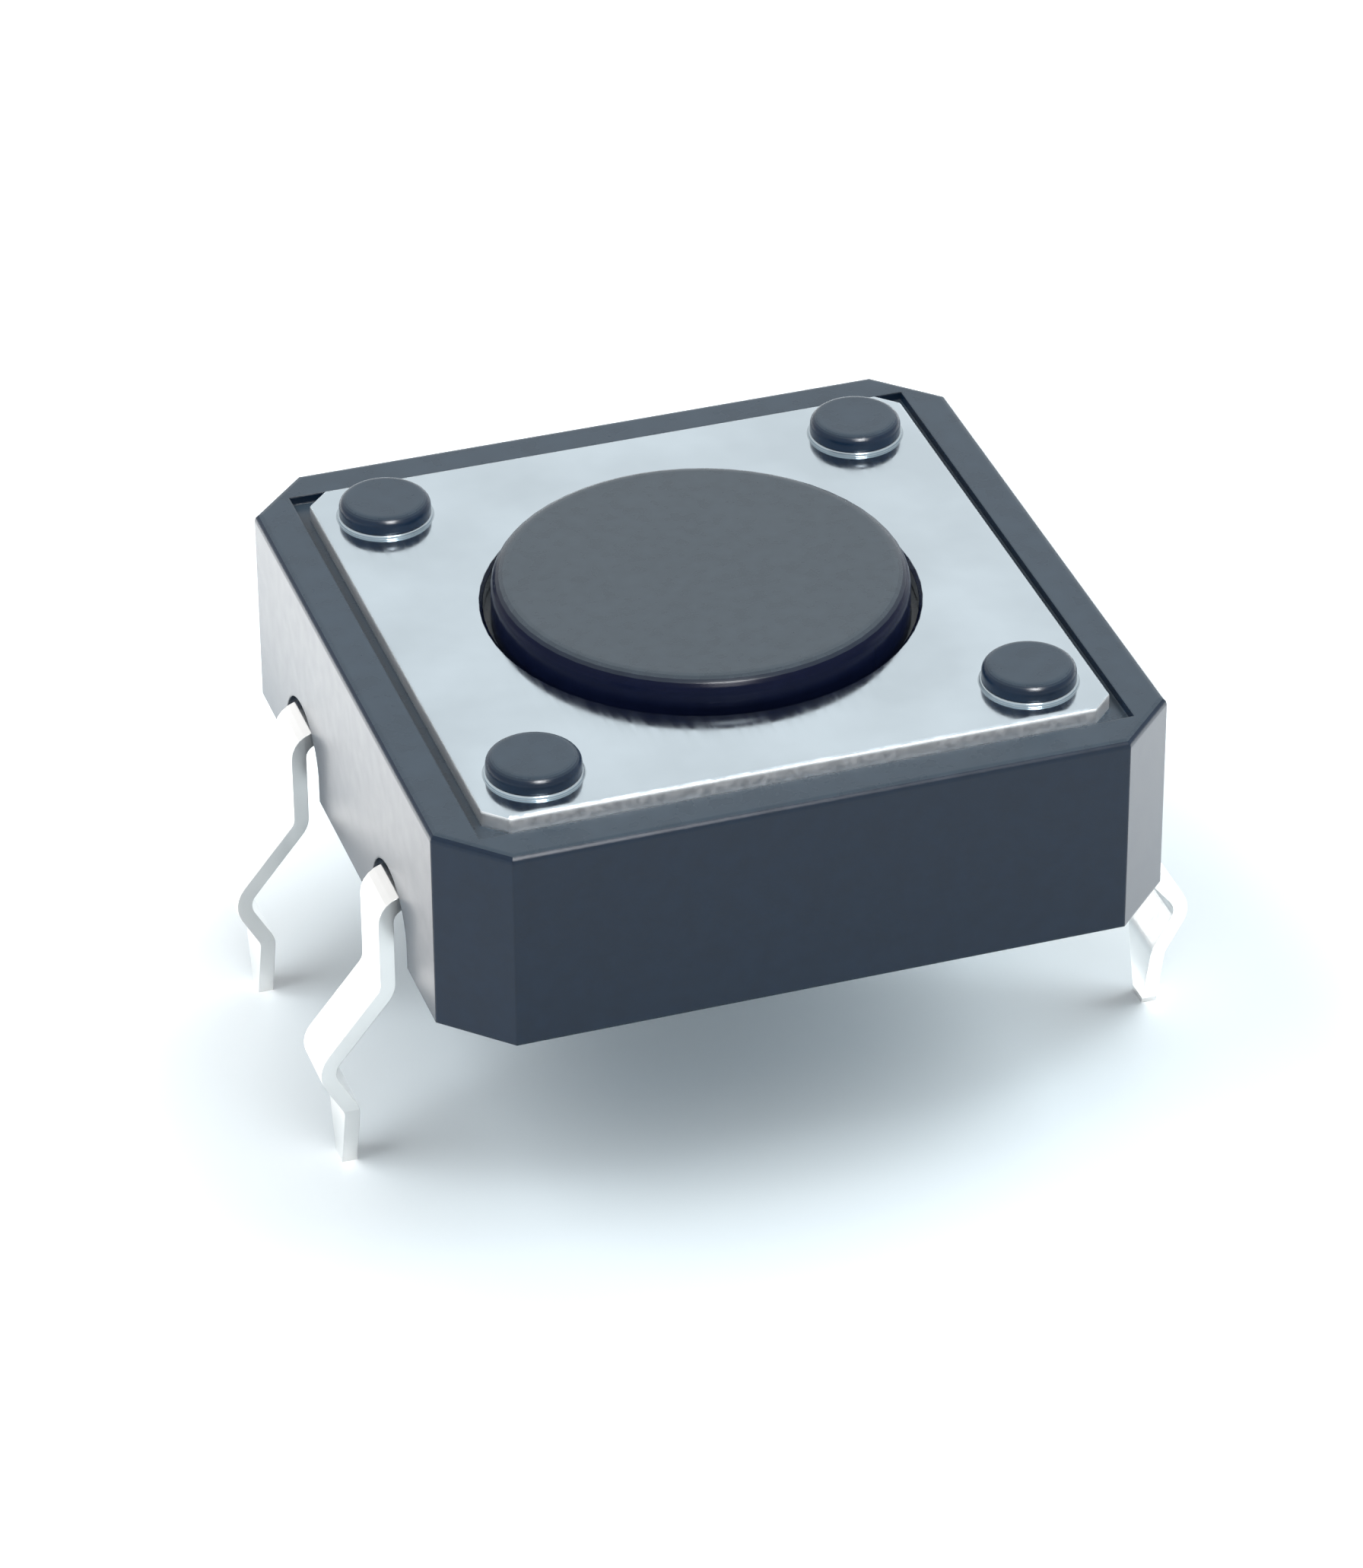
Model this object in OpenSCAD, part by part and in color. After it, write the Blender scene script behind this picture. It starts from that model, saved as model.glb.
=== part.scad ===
/* [Housing] */
// Width and depth of the square housing
base_w = 12; // [11:0.1:14]
// Height of the housing from its underside to the rim's top
base_h = 3.45; // [3.2:0.05:5]
// Cut across each upright corner, along the sides
corner_cut = 1; // [0.6:0.05:1.4]
// Width of the raised rim round the cover plate
rim_w = 0.68; // [0.5:0.02:1]
// Narrowest width of the ledge between the rim and the chamber
ledge_w = 0.82; // [0.6:0.02:1.1]
// Height of the pads that hold the housing off the board
standoff_h = 0.2; // [0.1:0.05:0.5]
// Diameter of a standoff pad
standoff_d = 1.4; // [0.8:0.1:2]
// Easing of the rim's outer top edge
rim_round = 0.12; // [0.02:0.01:0.2]

/* [Cover plate] */
// Thickness of the cover plate
plate_t = 0.3; // [0.2:0.05:0.4]
// Height of the plate's face above the rim's top
plate_proud = 0.15; // [0:0.01:0.25]
// Gap between the plate's edge and the rim
plate_gap = 0.2; // [0.05:0.01:0.3]
// Cut across each corner of the plate, along the sides
plate_corner = 0.35; // [0.1:0.05:0.8]
// Rolled top edge that blanking leaves on the plate
plate_roll = 0.06; // [0.02:0.01:0.1]
// Width of the drawn collar round each post's hole
collar_w = 0.28; // [0.2:0.02:0.4]
// Height of the collar above the plate's face
collar_h = 0.06; // [0.03:0.01:0.2]
// Rounding of the collar's outer top edge
collar_round = 0.03; // [0.01:0.01:0.06]

/* [Staked posts] */
// Distance from the plate's edge to a post's centre
post_inset = 1.07; // [0.95:0.01:1.2]
// Diameter of a post where it passes the plate
post_d = 0.9; // [0.7:0.05:1]
// Clearance round a post in the plate's hole
post_gap = 0.05; // [0.02:0.01:0.1]
// How far a flattened head reaches past its post
head_lap = 0.3; // [0.15:0.01:0.35]
// Thickness of a post's head
head_t = 0.27; // [0.2:0.01:0.4]
// Rounding of a head's upper edge
head_round = 0.15; // [0.05:0.01:0.18]

/* [Plunger] */
// Height of the button's face above the plate's face
plunger_rise = 0.5; // [0.4:0.05:3]
// Rounding of the button's top edge
plunger_round = 0.26; // [0.05:0.01:0.3]
// Clearance round the button in the plate's hole
plunger_gap = 0.13; // [0.02:0.01:0.2]
// Clearance between the flange and the chamber's wall
flange_side = 0.35; // [0.1:0.05:0.6]
// How far the flange stands out past the button
flange_w = 0.8; // [0.5:0.05:1.2]
// Thickness of the flange
flange_t = 0.7; // [0.4:0.05:0.8]
// Clearance between the flange and the plate at rest
flange_gap = 0.02; // [0.01:0.01:0.05]
// Diameter of the nub that presses the dome
nub_d = 1.8; // [1.2:0.1:2.5]
// Clearance between the nub and the dome at rest
nub_gap = 0.01; // [0.01:0.01:0.05]

/* [Dome and contacts] */
// How far the button travels until the contacts close
travel = 0.3; // [0.2:0.01:0.35]
// Clearance between the dome's rim and the chamber's wall
dome_side = 0.9; // [0.5:0.05:1.2]
// Thickness of the snap dome
dome_t = 0.08; // [0.05:0.01:0.12]
// Thickness of the contact strips and legs
strip_t = 0.25; // [0.2:0.05:0.35]
// Width of the contact strips and legs
strip_w = 1; // [0.8:0.05:1.2]
// Distance between the two strips, leg to leg on one side
leg_pitch_y = 5; // [4.8:0.1:5.2]
// Height of the strips' upper face above the housing's underside
strip_level = 1.05; // [0.9:0.05:1.3]
// Height of the contact pads above the strips
pad_h = 0.25; // [0.2:0.01:0.3]
// Diameter of the middle contact pad
pad_d = 1.2; // [0.8:0.1:1.6]
// Width of the strip left round the middle pad
hub_w = 0.2; // [0.1:0.05:0.4]
// Length of each side contact pad, along the dome's rim
side_pad_l = 1.4; // [1:0.1:1.6]
// How far the side pads' middle lies inside the dome's rim
side_pad_in = 0.3; // [0.2:0.05:0.5]
// Step from the strip's edge to a raised side pad
side_pad_step = 0.1; // [0.05:0.01:0.2]
// Depth of the chamber's floor below the contact pads
floor_sink = 0.05; // [0.01:0.01:0.1]

/* [Legs] */
// Distance from the housing's wall to the middle of a leg's upper part
leg_stand = 0.2; // [0.15:0.01:0.35]
// How far the kink's corner stands out from a leg's upper part
kink_out = 1.1; // [0.5:0.05:1.2]
// How far the tip stands out from a leg's upper part
tip_out = 0.65; // [0.3:0.05:0.8]
// Depth below the board face where the kink starts
kink_start = 0.5; // [0.4:0.05:0.8]
// Depth from there to the kink's corner
kink_fall = 1.35; // [1.1:0.05:1.5]
// Depth from the corner to where the kink has come back in
kink_return = 0.8; // [0.7:0.05:1.1]
// Length of the straight tip, which narrows to its end
tip_l = 1.2; // [0.8:0.05:1.6]
// Width of the leg at the end of its tip
tip_w = 0.5; // [0.3:0.05:0.7]
// Bend radius where the leg turns down, at the middle of the strip
bend_r = 0.35; // [0.25:0.05:0.5]
// Bend radius of the kink, at the middle of the strip
kink_r = 0.4; // [0.3:0.05:0.5]

/* [Leg notches] */
// Width of the arched notch that each leg leaves the housing by
notch_w = 1.9; // [1.5:0.05:2.4]
// Height of the notch above the housing's underside
notch_h = 1.3; // [1.2:0.05:1.6]
// Depth of the notch into the wall
notch_depth = 0.55; // [0.4:0.05:0.8]
// Diameter of the support holes that the mould leaves under the strips
support_d = 1; // [0.6:0.1:1.4]
// Distance from the housing's wall to a support hole
support_inset = 3; // [2.4:0.1:3.4]

/* [Hidden] */
$fn = 64;
eps = 0.01;
edge_steps = 6;
bend_steps = 6;
ease_steps = 3;

// Heights, from the board face up
base_z = standoff_h;
rim_z = base_z + base_h;
plate_z = rim_z + plate_proud;
ledge_z = plate_z - plate_t;
strip_z = base_z + strip_level;
pad_z = strip_z + pad_h;
floor_z = pad_z - floor_sink;
dome_top_z = pad_z + travel + dome_t;
plunger_z = plate_z + plunger_rise;
flange_z = ledge_z - flange_gap;
flange_bottom_z = flange_z - flange_t;
nub_z = dome_top_z + nub_gap;
collar_z = plate_z + collar_h;
head_z = collar_z + head_t;

// Depths of the legs
kink_z = -kink_start - kink_fall;
taper_z = kink_z - kink_return;
tip_z = taper_z - tip_l;

// Places and sizes that follow
half_w = base_w / 2;
well_w = base_w - 2 * rim_w;
chamber_d = well_w - 2 * ledge_w;
plate_w = well_w - 2 * plate_gap;
post_xy = plate_w / 2 - post_inset;
post_hole_d = post_d + 2 * post_gap;
collar_d = post_hole_d + 2 * collar_w;
head_d = post_d + 2 * head_lap;
flange_d = chamber_d - 2 * flange_side;
plunger_d = flange_d - 2 * flange_w;
plunger_hole_d = plunger_d + 2 * plunger_gap;
dome_d = chamber_d - 2 * dome_side;
dome_r = dome_d / 2;
dome_rise = travel + dome_t;
dome_sphere_r = (dome_r * dome_r + dome_rise * dome_rise) / (2 * dome_rise);
leg_x = half_w + leg_stand;
leg_y = leg_pitch_y / 2;
tip_x = leg_x + tip_out;
kink_x = leg_x + kink_out;
leg_inner = half_w - notch_depth;
strip_mid_z = strip_z - strip_t / 2;
side_pad_x = dome_r - side_pad_in;
notch_r = notch_w / 2;
standoff_xy = half_w - corner_cut - standoff_d / 2;
support_x = half_w - support_inset;

plastic_c = [0.2, 0.22, 0.24];
steel_c = [0.8, 0.83, 0.86];
silver_c = [0.88, 0.88, 0.87];

// Outline of a square with its corners cut
module cut_square(w, cut) {
    h = w / 2;
    k = h - cut;
    polygon([[-k, -h], [k, -h], [h, -k], [h, k], [k, h], [-k, h], [-h, k], [-h, -k]]);
}

// Block from z0 to z1 on that outline, its upper edges eased in a few slopes
module eased_block(w, cut, z0, z1, edge) {
    hull() {
        translate([0, 0, z0]) linear_extrude(z1 - z0 - edge) cut_square(w, cut);
        for (i = [1:ease_steps]) {
            a = 90 * i / ease_steps;
            inset = edge * (1 - cos(a));
            translate([0, 0, z1 - edge]) linear_extrude(edge * sin(a))
                cut_square(w - 2 * inset, cut - inset * (2 - sqrt(2)));
        }
    }
}

// Half profile of a disc whose top edge is rounded, for turning round Z
module round_top_profile(r, z0, z1, edge) {
    arc = [for (i = [0:edge_steps])
        let (a = 90 * i / edge_steps)
        [r - edge + edge * cos(a), z1 - edge + edge * sin(a)]];
    polygon(concat([[0, z0], [r, z0]], arc, [[0, z1]]));
}

module round_top_disc(r, z0, z1, edge) {
    rotate_extrude() round_top_profile(r, z0, z1, edge);
}

module at_corners(d) {
    for (x = [-1, 1], y = [-1, 1]) translate([x * d, y * d, 0]) children();
}

// A path with its inner corners turned into arcs, as points along its middle
function unit(v) = v / norm(v);
function turn(a, b, c) =
    let (u = unit(b - a), v = unit(c - b))
    atan2(u[0] * v[1] - u[1] * v[0], u * v);
function bend(a, b, c, r) =
    let (u = unit(b - a), t = turn(a, b, c), s = sign(t), d = r * tan(abs(t) / 2),
        start = b - d * u, centre = start + s * r * [-u[1], u[0]])
    [for (i = [0:bend_steps])
        let (k = t * i / bend_steps, w = start - centre)
        centre + [w[0] * cos(k) - w[1] * sin(k), w[0] * sin(k) + w[1] * cos(k)]];

// The two edges of a ribbon of thickness t that follows the middle line
function normal_at(p, i) =
    let (u = unit(p[min(i + 1, len(p) - 1)] - p[max(i - 1, 0)]))
    [-u[1], u[0]];
function ribbon(p, t) = concat(
    [for (i = [0:len(p) - 1]) p[i] + normal_at(p, i) * t / 2],
    [for (i = [len(p) - 1:-1:0]) p[i] - normal_at(p, i) * t / 2]
);

// Middle line of the right-hand leg, from inside the housing to the tip
leg_p0 = [leg_inner, strip_mid_z];
leg_p1 = [leg_x, strip_mid_z];
leg_p2 = [leg_x, -kink_start];
leg_p3 = [kink_x, kink_z];
leg_p4 = [tip_x, taper_z];
leg_p5 = [tip_x, tip_z];
leg_line = concat(
    [leg_p0],
    bend(leg_p0, leg_p1, leg_p2, bend_r),
    bend(leg_p1, leg_p2, leg_p3, kink_r),
    bend(leg_p2, leg_p3, leg_p4, kink_r),
    bend(leg_p3, leg_p4, leg_p5, kink_r),
    [leg_p5]
);

// Outline of the leg seen from the side of the switch, narrower towards the tip
module leg_outline() {
    h = strip_w / 2;
    k = tip_w / 2;
    polygon([[-h, strip_z + strip_t], [-h, taper_z], [-k, tip_z + k], [-k / 2, tip_z - strip_t],
        [k / 2, tip_z - strip_t], [k, tip_z + k], [h, taper_z], [h, strip_z + strip_t]]);
}

// One leg, which leaves the housing towards +X
module leg() {
    intersection() {
        translate([0, strip_w / 2, 0]) rotate([90, 0, 0])
            linear_extrude(strip_w) polygon(ribbon(leg_line, strip_t));
        translate([leg_inner - eps, 0, 0]) rotate([90, 0, 90])
            linear_extrude(base_w) leg_outline();
    }
}

// Bar across the housing with a leg at each end, along the line y
module strip_bar(y) {
    translate([0, y, 0]) {
        translate([-leg_inner, -strip_w / 2, strip_z - strip_t])
            cube([2 * leg_inner, strip_w, strip_t]);
        leg();
        mirror([1, 0, 0]) leg();
    }
}

// Stamping with the middle contact
module front_stamping() {
    strip_bar(-leg_y);
    translate([-strip_w / 2, -leg_y, strip_z - strip_t]) cube([strip_w, leg_y, strip_t]);
    translate([0, 0, strip_z - strip_t]) cylinder(h = strip_t, d = pad_d + 2 * hub_w);
    translate([0, 0, strip_z - eps]) cylinder(h = pad_h + eps, d = pad_d);
}

// Stamping with the two contacts under the dome's rim
module rear_stamping() {
    strip_bar(leg_y);
    for (s = [-1, 1]) translate([s * side_pad_x, 0, 0]) {
        translate([-strip_w / 2, -side_pad_l / 2, strip_z - strip_t])
            cube([strip_w, leg_y + side_pad_l / 2, strip_t]);
        translate([side_pad_step - strip_w / 2, side_pad_step - side_pad_l / 2, strip_z - eps])
            cube([strip_w - 2 * side_pad_step, side_pad_l - 2 * side_pad_step, pad_h + eps]);
    }
}

// Arched notch in the +X wall, centred on a leg
module leg_notch() {
    translate([leg_inner, 0, base_z - eps]) rotate([90, 0, 90]) linear_extrude(base_w) {
        translate([-notch_r, 0]) square([notch_w, notch_h - notch_r + eps]);
        translate([0, notch_h - notch_r + eps]) circle(r = notch_r);
    }
}

module base_housing() {
    color(plastic_c) {
        difference() {
            eased_block(base_w, corner_cut, base_z, rim_z, rim_round);
            translate([-well_w / 2, -well_w / 2, ledge_z]) cube([well_w, well_w, base_h]);
            translate([0, 0, floor_z]) cylinder(h = base_h, d = chamber_d);
            for (s = [0, 180], y = [-1, 1]) rotate([0, 0, s]) translate([0, y * leg_y, 0]) leg_notch();
            front_stamping();
            rear_stamping();
            for (x = [-1, 1], y = [-1, 1]) translate([x * support_x, y * leg_y, base_z - eps])
                cylinder(h = strip_level - strip_t + 2 * eps, d = support_d);
        }
        at_corners(standoff_xy) cylinder(h = standoff_h + eps, d = standoff_d);
        at_corners(post_xy) {
            translate([0, 0, ledge_z - eps]) cylinder(h = collar_z - ledge_z + 2 * eps, d = post_d);
            round_top_disc(head_d / 2, collar_z, head_z, head_round);
        }
    }
}

module cover_plate() {
    color(steel_c) difference() {
        union() {
            eased_block(plate_w, plate_corner, ledge_z, plate_z, plate_roll);
            at_corners(post_xy) round_top_disc(collar_d / 2, ledge_z, collar_z, collar_round);
        }
        translate([0, 0, ledge_z - eps]) cylinder(h = plate_t + 2 * eps, d = plunger_hole_d);
        translate([0, 0, plate_z - plate_roll])
            cylinder(h = 2 * plate_roll, d1 = plunger_hole_d, d2 = plunger_hole_d + 4 * plate_roll);
        at_corners(post_xy) translate([0, 0, ledge_z - eps])
            cylinder(h = plate_t + collar_h + 2 * eps, d = post_hole_d);
    }
}

module plunger() {
    color(plastic_c) {
        round_top_disc(plunger_d / 2, flange_bottom_z, plunger_z, plunger_round);
        translate([0, 0, flange_bottom_z]) cylinder(h = flange_t, d = flange_d);
        translate([0, 0, nub_z]) cylinder(h = flange_bottom_z - nub_z + eps, d = nub_d);
    }
}

// Shallow dome whose rim rests on the side contacts
module snap_dome() {
    color(silver_c) translate([0, 0, pad_z]) difference() {
        intersection() {
            cylinder(h = dome_rise + eps, r = dome_r);
            translate([0, 0, dome_rise - dome_sphere_r]) sphere(r = dome_sphere_r, $fn = 256);
        }
        translate([0, 0, dome_rise - dome_sphere_r]) sphere(r = dome_sphere_r - dome_t, $fn = 256);
    }
}

module contact_strip_front() {
    color(silver_c) front_stamping();
}

module contact_strip_rear() {
    color(silver_c) rear_stamping();
}

base_housing();
cover_plate();
plunger();
snap_dome();
contact_strip_front();
contact_strip_rear();
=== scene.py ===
"""Looks of the tactile push button switch: its materials, a white studio and the camera. Lengths are in metres."""

import math

import bpy
from mathutils import Matrix, Vector


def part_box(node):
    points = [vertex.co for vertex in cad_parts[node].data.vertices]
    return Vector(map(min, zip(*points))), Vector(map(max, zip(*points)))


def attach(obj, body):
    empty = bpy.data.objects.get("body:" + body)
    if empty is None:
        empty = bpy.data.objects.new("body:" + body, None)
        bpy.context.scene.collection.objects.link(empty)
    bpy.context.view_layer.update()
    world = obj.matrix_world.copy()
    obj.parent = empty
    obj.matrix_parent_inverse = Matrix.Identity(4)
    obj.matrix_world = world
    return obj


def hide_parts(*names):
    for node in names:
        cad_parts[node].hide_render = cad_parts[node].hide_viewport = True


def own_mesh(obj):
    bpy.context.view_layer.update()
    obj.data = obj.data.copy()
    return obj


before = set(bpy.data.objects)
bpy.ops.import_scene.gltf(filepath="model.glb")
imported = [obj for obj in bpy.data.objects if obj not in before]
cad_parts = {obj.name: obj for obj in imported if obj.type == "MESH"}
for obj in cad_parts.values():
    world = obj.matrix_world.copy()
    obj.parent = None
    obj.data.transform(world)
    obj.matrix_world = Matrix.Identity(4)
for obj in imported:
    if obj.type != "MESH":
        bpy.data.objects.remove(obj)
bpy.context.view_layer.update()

MM = 0.001
WHITE = (1.0, 1.0, 1.0)

# Camera: where it stands, the point it looks at, its roll, and its focal length in pixels of the photograph
CAMERA_AT = Vector((-29.5, -89.0, 61.6)) * MM
CAMERA_AIM = Vector((-0.31, 0.11, 0.22)) * MM
CAMERA_ROLL = math.radians(0.44)
FOCAL_PX = 9083
PHOTO_LONG_SIDE_PX = 2061
SENSOR_MM = 36.0

# The legs' tips stand on the floor
FLOOR_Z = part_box("contact_strip_front")[0].z

# How far a plastic face looks up where its fine texture and its painted light start, and where they are full: faces
# that look up are painted paler as painted light, sides darker as painted shade
TEXTURE_AND_PAINTED_LIGHT_FROM = 0.70
TEXTURE_AND_PAINTED_LIGHT_FULL = 0.97

# Size of the slow changes of tone in plastic and in sheet metal
PLASTIC_CLOUD = 1.4 * MM
SHEET_CLOUD = 2.2 * MM

# Radius of the eased edges: of plastic, of sheet metal, and of the cover plate's outer edge
PLASTIC_EASE = 0.05 * MM
SHEET_EASE = 0.02 * MM
EDGE_ROLL = 0.08 * MM

# Cover plate: where its outer edge band starts, the posts' places in x and y, and the radius of their collars
EDGE_BAND_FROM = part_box("cover_plate")[1].x - 0.2 * MM
POST_AT = 4.05 * MM
COLLAR_EDGE = 0.80 * MM

# Cover plate: tone and added roughness of its cut edge, the tone partly the cut edge's own and partly a painted
# highlight, and the painted shade that the collars go half way to
CUT_EDGE_TONE_AND_PAINTED_HIGHLIGHT = (0.82, 0.84, 0.85)
CUT_ROUGHNESS = 0.35
COLLAR_PAINTED_SHADE = (0.25, 0.30, 0.33)
COLLAR_SHARE = 0.5

# Softboxes: name, direction as seen from the switch, size, power and colour
SOFTBOX_DISTANCE = 0.30
SOFTBOXES = [
    ("overhead", (0.0, 0.0, 1.0), 0.60, 0.72, (1.0, 0.95, 0.89)),
    ("left", (-1.0, 0.0, 1.0), 0.25, 0.69, (0.83, 0.94, 1.0)),
    ("right", (1.0, 0.0, 1.0), 0.25, 0.79, (0.79, 0.93, 1.0)),
    ("front", (0.0, -1.0, 1.0), 0.25, 0.29, (0.78, 0.92, 1.0)),
    ("rear_right_low", (0.8, 0.7, 0.3), 0.20, 0.28, (0.90, 0.97, 1.0)),
]

# Glowing cards: name, x0, y0, x1, y1, radiance and colour
CARD_ABOVE_FLOOR = 0.1 * MM
CARDS = [
    ("left_card", (-0.045, -0.002, -0.008, 0.05), 1.40, (1.0, 0.95, 0.91)),
    ("right_card", (0.0065, -0.008, 0.045, 0.04), 1.10, (0.98, 1.0, 1.0)),
]


def rgba(colour):
    return (*colour, 1.0)


class Nodes:
    """Short way to add and join shader nodes in one material or world."""

    def __init__(self, tree):
        self.tree = tree
        self.tree.nodes.clear()

    def feed(self, socket, value):
        if isinstance(value, bpy.types.NodeSocket):
            self.tree.links.new(value, socket)
        else:
            socket.default_value = value

    def add(self, kind, inputs=None, **settings):
        node = self.tree.nodes.new(kind)
        for name, value in settings.items():
            setattr(node, name, value)
        for name, value in (inputs or {}).items():
            self.feed(node.inputs[name], value)
        return node

    def math(self, operation, a, b=0.0):
        return self.add("ShaderNodeMath", {0: a, 1: b}, operation=operation).outputs[0]

    def coords(self):
        return self.add("ShaderNodeTexCoord").outputs["Object"]

    def facing(self):
        """The way that the surface faces, as X, Y and Z."""
        normal = self.add("ShaderNodeNewGeometry").outputs["Normal"]
        return self.add("ShaderNodeSeparateXYZ", {0: normal}).outputs

    def noise(self, vector, size, detail=3.0, stretch=(1, 1, 1)):
        """Noise whose features are about size metres across, stretched along the axes."""
        scaled = self.add("ShaderNodeMapping", {"Vector": vector, "Scale": [s / size for s in stretch]})
        inputs = {"Vector": scaled.outputs[0], "Scale": 1.0, "Detail": detail}
        return self.add("ShaderNodeTexNoise", inputs).outputs["Fac"]

    def remap(self, value, low, high, to_low, to_high, easing="LINEAR"):
        inputs = {"Value": value, "From Min": low, "From Max": high, "To Min": to_low, "To Max": to_high}
        return self.add("ShaderNodeMapRange", inputs, interpolation_type=easing).outputs["Result"]

    def mix_colour(self, factor, a, b):
        mix = self.add("ShaderNodeMix", {"Factor": factor}, data_type="RGBA")
        first, second = (s for s in mix.inputs if s.type == "RGBA")
        self.feed(first, a)
        self.feed(second, b)
        return next(s for s in mix.outputs if s.type == "RGBA")

    def times(self, colour, tone):
        return self.add("ShaderNodeVectorMath", {0: colour, "Scale": tone}, operation="SCALE").outputs[0]

    def collars(self, place):
        """1 on the low collars round the posts, where shade is painted, 0 elsewhere on the plate."""
        from_post = [self.math("SUBTRACT", self.math("ABSOLUTE", place[axis]), POST_AT) for axis in "XY"]
        squares = [self.math("MULTIPLY", d, d) for d in from_post]
        return self.math("LESS_THAN", self.math("SQRT", self.math("ADD", *squares)), COLLAR_EDGE)

    def eased_bump(self, height, strength, distance, radius, samples):
        """The grain as bump, on edges eased by radius."""
        eased = self.add("ShaderNodeBevel", {"Radius": radius}, samples=samples).outputs["Normal"]
        inputs = {"Strength": strength, "Distance": distance, "Height": height, "Normal": eased}
        return self.add("ShaderNodeBump", inputs).outputs[0]

    def finish(self, shader, output="ShaderNodeOutputMaterial"):
        out = self.tree.nodes.new(output)
        self.tree.links.new(shader, out.inputs["Surface"])


def new_material(name):
    material = bpy.data.materials.new(name)
    material.use_nodes = True
    return material, Nodes(material.node_tree)


def add_object(name, data):
    thing = bpy.data.objects.new(name, data)
    bpy.context.scene.collection.objects.link(thing)
    return thing


def moulded_plastic(name, top, side, mottle_size, top_shine, side_shine, mottle=0.07, roughness=0.28):
    """Black moulded plastic: faces that look up have a fine texture and are painted paler, as painted light, than
    the smooth sides, which are painted deep black as painted shade.
    """
    material, n = new_material(name)
    at = n.coords()
    texture_and_painted_light = n.remap(n.facing()["Z"], TEXTURE_AND_PAINTED_LIGHT_FROM, TEXTURE_AND_PAINTED_LIGHT_FULL, 0.0, 1.0)
    patches = n.noise(at, mottle_size, detail=2.0)
    blotches = n.noise(at, PLASTIC_CLOUD, detail=2.0)
    blend = n.math("ADD", n.math("MULTIPLY", patches, 0.7), n.math("MULTIPLY", blotches, 0.3))
    tone = n.remap(blend, 0.35, 0.65, 1 - mottle, 1 + mottle)
    # Painted light and shade: faces that look up take the paler top colour, the others the deep black side colour
    plain = n.mix_colour(texture_and_painted_light, rgba(side), rgba(top))
    smoother_sides = n.remap(texture_and_painted_light, 0.0, 1.0, roughness - 0.06, roughness)
    rough = n.math("ADD", smoother_sides, n.remap(patches, 0.3, 0.7, -0.015, 0.015))
    grain = n.noise(at, 0.09 * MM)
    shader = n.add("ShaderNodeBsdfPrincipled", {
        "Base Color": n.times(plain, tone),
        "Roughness": rough,
        "Specular IOR Level": n.remap(texture_and_painted_light, 0.0, 1.0, side_shine, top_shine),
        "Normal": n.eased_bump(grain, 0.03, 0.006 * MM, PLASTIC_EASE, samples=4),
    })
    n.finish(shader.outputs[0])
    return material


def sheet_metal(name, colour, roughness, grain_size, grain_stretch, bump, cover=False, sheared=1.0):
    """Stamped sheet with a faint drawn grain and slow changes of tone. The cover plate also has collars darkened
    with painted shade, and a band along its outer edge where the cut edge is rounded over, rough and pale, the
    paleness partly a painted highlight. On the strips, the edges cut across y have sheared times the tone."""
    material, n = new_material(name)
    at = n.coords()
    facing = n.facing()
    grain = n.noise(at, grain_size, stretch=grain_stretch)
    cloud = n.remap(n.noise(at, SHEET_CLOUD), 0.35, 0.65, 0.0, 1.0)
    light = [min(c * 1.05, 1.0) for c in colour]
    dark = [c * 0.93 for c in colour]
    base = n.mix_colour(cloud, rgba(dark), rgba(light))
    rough = n.remap(grain, 0.3, 0.7, roughness - 0.05, roughness + 0.05)
    radius = SHEET_EASE
    if sheared < 1.0:
        base = n.times(base, n.remap(n.math("ABSOLUTE", facing["Y"]), 0.6, 0.9, 1.0, sheared))
    if cover:
        place = n.add("ShaderNodeSeparateXYZ", {0: at}).outputs
        reach = n.math("MAXIMUM", n.math("ABSOLUTE", place["X"]), n.math("ABSOLUTE", place["Y"]))
        band = n.math("GREATER_THAN", reach, EDGE_BAND_FROM)
        radius = n.remap(band, 0.0, 1.0, SHEET_EASE, EDGE_ROLL)
        # The cut edge turns pale: partly its own tone, partly a painted highlight along the plate's edge
        cut = n.math("MULTIPLY", band, n.remap(facing["Z"], 0.2, 0.6, 1.0, 0.0))
        rough = n.math("ADD", rough, n.math("MULTIPLY", cut, CUT_ROUGHNESS))
        base = n.mix_colour(cut, base, rgba(CUT_EDGE_TONE_AND_PAINTED_HIGHLIGHT))
        # Painted shade under the post heads: the collars go half way to a dark tone
        base = n.mix_colour(n.math("MULTIPLY", n.collars(place), COLLAR_SHARE), base, rgba(COLLAR_PAINTED_SHADE))
    shader = n.add("ShaderNodeBsdfPrincipled", {
        "Base Color": base,
        "Metallic": 1.0,
        "Roughness": rough,
        "Normal": n.eased_bump(grain, bump, 0.004 * MM, radius, samples=6),
    })
    n.finish(shader.outputs[0])
    return material


def dress(node, material):
    """Gives a CAD node its finish."""
    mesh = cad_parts[node].data
    mesh.materials.clear()
    mesh.materials.append(material)


def make_spring_dome():
    """The snap dome as a piece of its own on the base, with its finish."""
    dome = add_object("snap_dome_spring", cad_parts["snap_dome"].data.copy())
    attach(dome, "base")
    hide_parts("snap_dome")
    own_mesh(dome)


def seen_directly(n):
    """1 for rays from the camera, and for those that a glossy or clear surface sends on."""
    path = n.add("ShaderNodeLightPath").outputs
    camera_or_glossy = n.math("MAXIMUM", path["Is Camera Ray"], path["Is Glossy Ray"])
    return n.math("MAXIMUM", camera_or_glossy, path["Is Transmission Ray"])


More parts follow.
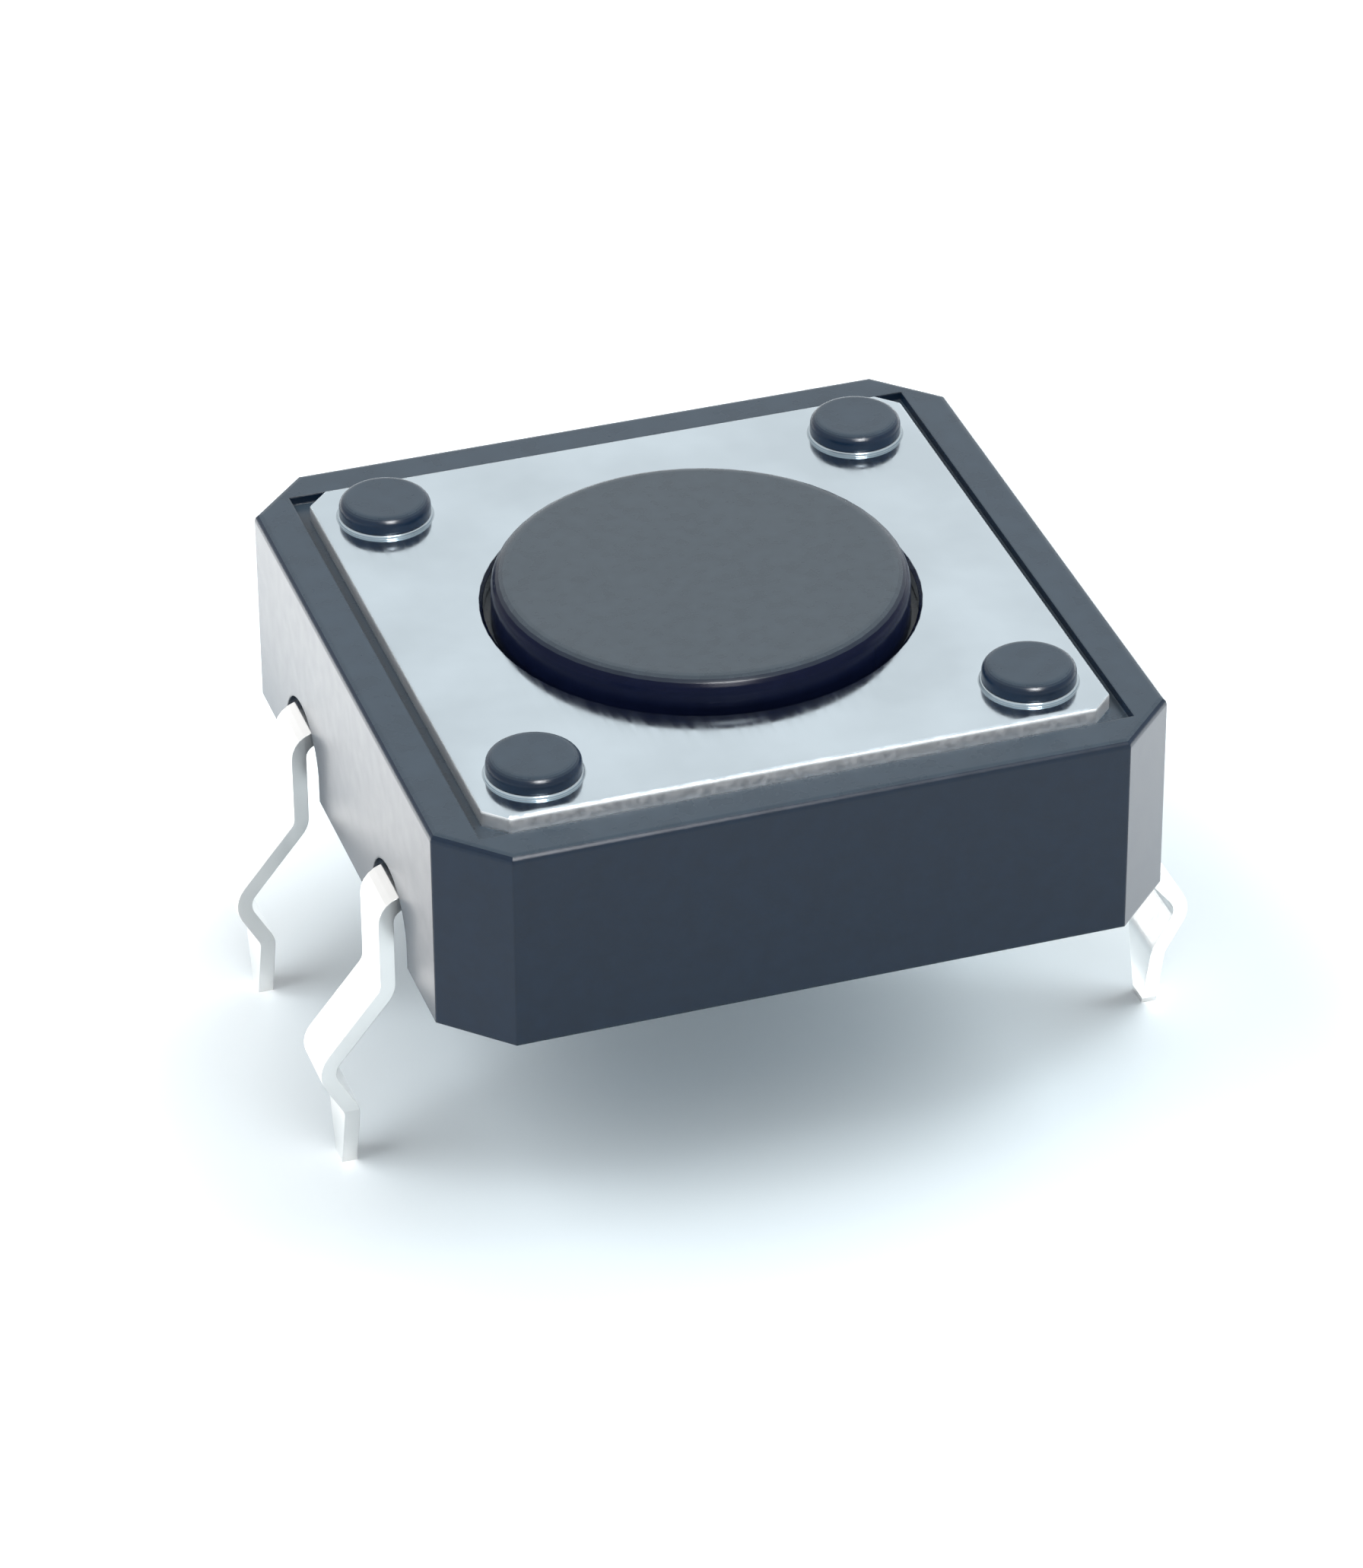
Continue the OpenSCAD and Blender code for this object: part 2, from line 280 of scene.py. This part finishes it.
def make_world(colour, strength):
    """Even studio light, seen as plain white."""
    world = bpy.data.worlds.new("studio")
    world.use_nodes = True
    bpy.context.scene.world = world
    n = Nodes(world.node_tree)
    ambient = n.add("ShaderNodeBackground", {"Color": rgba(colour), "Strength": strength})
    white = n.add("ShaderNodeBackground", {"Color": rgba(WHITE), "Strength": 1.0})
    mix = n.add("ShaderNodeMixShader", {0: seen_directly(n), 1: ambient.outputs[0], 2: white.outputs[0]})
    n.finish(mix.outputs[0], "ShaderNodeOutputWorld")


def make_floor(size, albedo, near_glow, far_glow, centre, fade):
    """White paper that keeps the object's shadow. Seen directly it has the near glow, which goes over to the far
    one, that brings it to white, between the two radii of fade from centre."""
    half = size / 2
    corners = [(x, y, FLOOR_Z) for x, y in ((-half, -half), (half, -half), (half, half), (-half, half))]
    mesh = bpy.data.meshes.new("floor")
    mesh.from_pydata(corners, [], [(0, 1, 2, 3)])
    material, n = new_material("floor_paper")
    middle = {0: n.coords(), 1: (*centre, FLOOR_Z)}
    reach = n.add("ShaderNodeVectorMath", middle, operation="DISTANCE").outputs["Value"]
    beyond = n.remap(reach, *fade, 0.0, 1.0, easing="SMOOTHSTEP")
    colour = n.mix_colour(beyond, rgba(near_glow), rgba(far_glow))
    paper = n.add("ShaderNodeBsdfDiffuse", {"Color": (albedo, albedo, albedo, 1.0)})
    glow = n.add("ShaderNodeEmission", {"Color": colour, "Strength": seen_directly(n)})
    both = n.add("ShaderNodeAddShader", {0: paper.outputs[0], 1: glow.outputs[0]})
    n.finish(both.outputs[0])
    mesh.materials.append(material)
    add_object("floor", mesh)


def area_light(name, direction, distance, size, power, colour, mirrored=False):
    """A square softbox that shines at the switch from direction, as seen from the switch. Gloss shows only the
    mirrored ones, so that from any side the bare steel shows the plain studio instead of glare."""
    data = bpy.data.lights.new(name, "AREA")
    data.shape = "SQUARE"
    data.size = size
    data.energy = power
    data.color = colour
    light = add_object(name, data)
    outward = Vector(direction).normalized()
    light.location = outward * distance
    light.rotation_euler = outward.to_track_quat("Z", "Y").to_euler()
    light.visible_camera = False
    light.visible_glossy = mirrored
    return light


def floor_card(name, extent, radiance, colour):
    """A glowing card just above the floor, seen by the switch and not by the camera. extent is x0, y0, x1, y1."""
    x0, y0, x1, y1 = extent
    data = bpy.data.lights.new(name, "AREA")
    data.shape = "RECTANGLE"
    data.size = x1 - x0
    data.size_y = y1 - y0
    data.energy = radiance * math.pi * data.size * data.size_y
    data.color = colour
    card = add_object(name, data)
    card.location = ((x0 + x1) / 2, (y0 + y1) / 2, FLOOR_Z + CARD_ABOVE_FLOOR)
    card.rotation_euler = (math.pi, 0.0, 0.0)
    card.visible_camera = False


def make_camera():
    data = bpy.data.cameras.new("camera")
    data.sensor_width = SENSOR_MM
    data.lens = FOCAL_PX * SENSOR_MM / PHOTO_LONG_SIDE_PX
    data.clip_start = 1 * MM
    data.clip_end = 10.0
    camera = add_object("camera", data)
    facing = (CAMERA_AT - CAMERA_AIM).to_track_quat("Z", "Y").to_matrix().to_4x4()
    camera.matrix_world = Matrix.Translation(CAMERA_AT) @ facing @ Matrix.Rotation(-CAMERA_ROLL, 4, "Z")
    bpy.context.scene.camera = camera


# The top colours are painted light and the side colours painted shade
housing_plastic = moulded_plastic(
    "housing_plastic", top=(0.037, 0.052, 0.069), side=(0.004, 0.014, 0.032),
    mottle_size=0.35 * MM, top_shine=0.30, side_shine=0.26)
plunger_plastic = moulded_plastic(
    "plunger_plastic", top=(0.050, 0.062, 0.074), side=(0.004, 0.006, 0.020),
    mottle_size=0.25 * MM, top_shine=0.32, side_shine=0.06)
cover_steel = sheet_metal(
    "cover_steel", (0.585, 0.675, 0.735), roughness=0.14,
    grain_size=0.12 * MM, grain_stretch=(1, 0.12, 1), bump=0.05, cover=True)
dome_steel = sheet_metal(
    "dome_steel", (0.72, 0.72, 0.70), roughness=0.22,
    grain_size=0.10 * MM, grain_stretch=(1, 1, 1), bump=0.05)
contact_metal = sheet_metal(
    "contact_metal", (0.95, 0.95, 0.94), roughness=0.34,
    grain_size=0.10 * MM, grain_stretch=(1, 1, 0.15), bump=0.08, sheared=0.75)

dress("base_housing", housing_plastic)
dress("plunger", plunger_plastic)
dress("cover_plate", cover_steel)
dress("snap_dome", dome_steel)
dress("contact_strip_front", contact_metal)
dress("contact_strip_rear", contact_metal)
make_spring_dome()

make_camera()
make_world((0.68, 0.85, 1.0), 0.02)
make_floor(
    size=2.0, albedo=0.90, near_glow=(0.01, 0.01875, 0.025), far_glow=(0.5, 0.5, 0.5),
    centre=(1.5 * MM, -2.5 * MM), fade=(7.5 * MM, 16 * MM))
for name, direction, size, power, colour in SOFTBOXES:
    area_light(name, direction, SOFTBOX_DISTANCE, size, power, colour)
glint = area_light("glint", (0.01, -0.59, 0.80), 0.25, 0.07, 1.2, WHITE, mirrored=True)
glint.visible_diffuse = False
for card in CARDS:
    floor_card(*card)

bpy.context.scene.view_settings.view_transform = "Standard"
